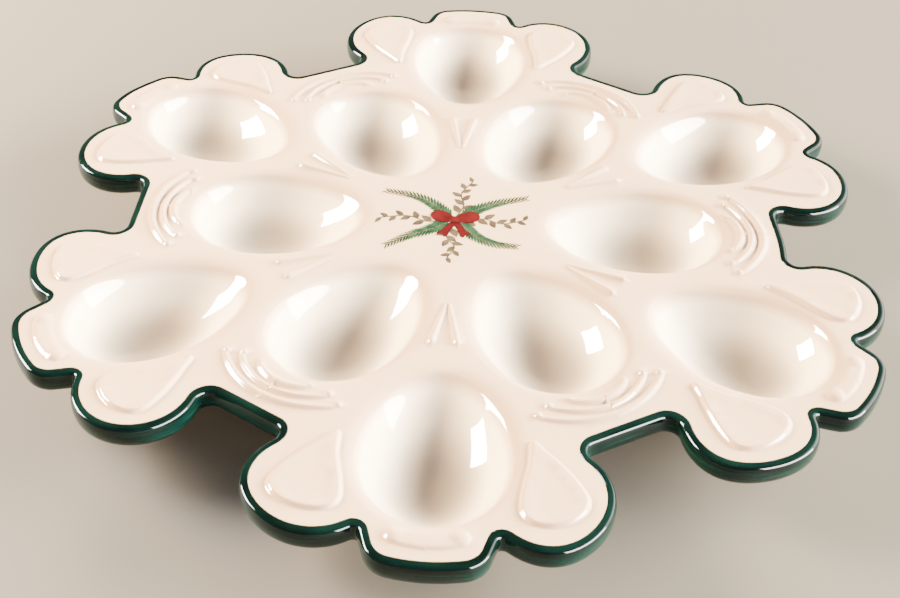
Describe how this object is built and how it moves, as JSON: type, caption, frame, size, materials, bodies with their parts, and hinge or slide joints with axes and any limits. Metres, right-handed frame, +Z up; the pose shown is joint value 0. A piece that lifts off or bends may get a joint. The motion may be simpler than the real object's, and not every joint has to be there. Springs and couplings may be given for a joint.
{
  "type": "deviled egg platter",
  "caption": "Lobed stoneware platter with rings of egg-shaped wells, a gloss cream deck with low relief ornament and a dark green rim band.",
  "frame": {"origin": "centre of the platter on the table, in the plane of the foot pads", "axes": "+Z up out of the wells, +Y along the middle of one lobe, which is the platter's longest way across"},
  "size_m": [0.2976, 0.3192, 0.0255],
  "materials": {
    "cream_glaze": "high gloss cream glaze",
    "green_glaze": "high gloss dark green glaze",
    "bare_clay": "unglazed, matte"
  },
  "bodies": {
    "root": {"centre_panel": "cream_glaze", "lobe_panel_1": "cream_glaze", "lobe_panel_2": "cream_glaze", "lobe_panel_3": "cream_glaze", "lobe_panel_4": "cream_glaze", "lobe_panel_5": "cream_glaze", "lobe_panel_6": "cream_glaze", "rim_band_1": "green_glaze", "rim_band_2": "green_glaze", "rim_band_3": "green_glaze", "rim_band_4": "green_glaze", "rim_band_5": "green_glaze", "rim_band_6": "green_glaze", "outer_cup_1": "cream_glaze", "outer_cup_2": "cream_glaze", "outer_cup_3": "cream_glaze", "outer_cup_4": "cream_glaze", "outer_cup_5": "cream_glaze", "outer_cup_6": "cream_glaze", "inner_cup_1": "cream_glaze", "inner_cup_2": "cream_glaze", "inner_cup_3": "cream_glaze", "inner_cup_4": "cream_glaze", "inner_cup_5": "cream_glaze", "inner_cup_6": "cream_glaze", "leaf_relief": "cream_glaze", "scroll_relief": "cream_glaze", "crescent_relief": "cream_glaze", "chevron_relief": "cream_glaze", "foot_pads": "bare_clay"}
  },
  "joints": []
}
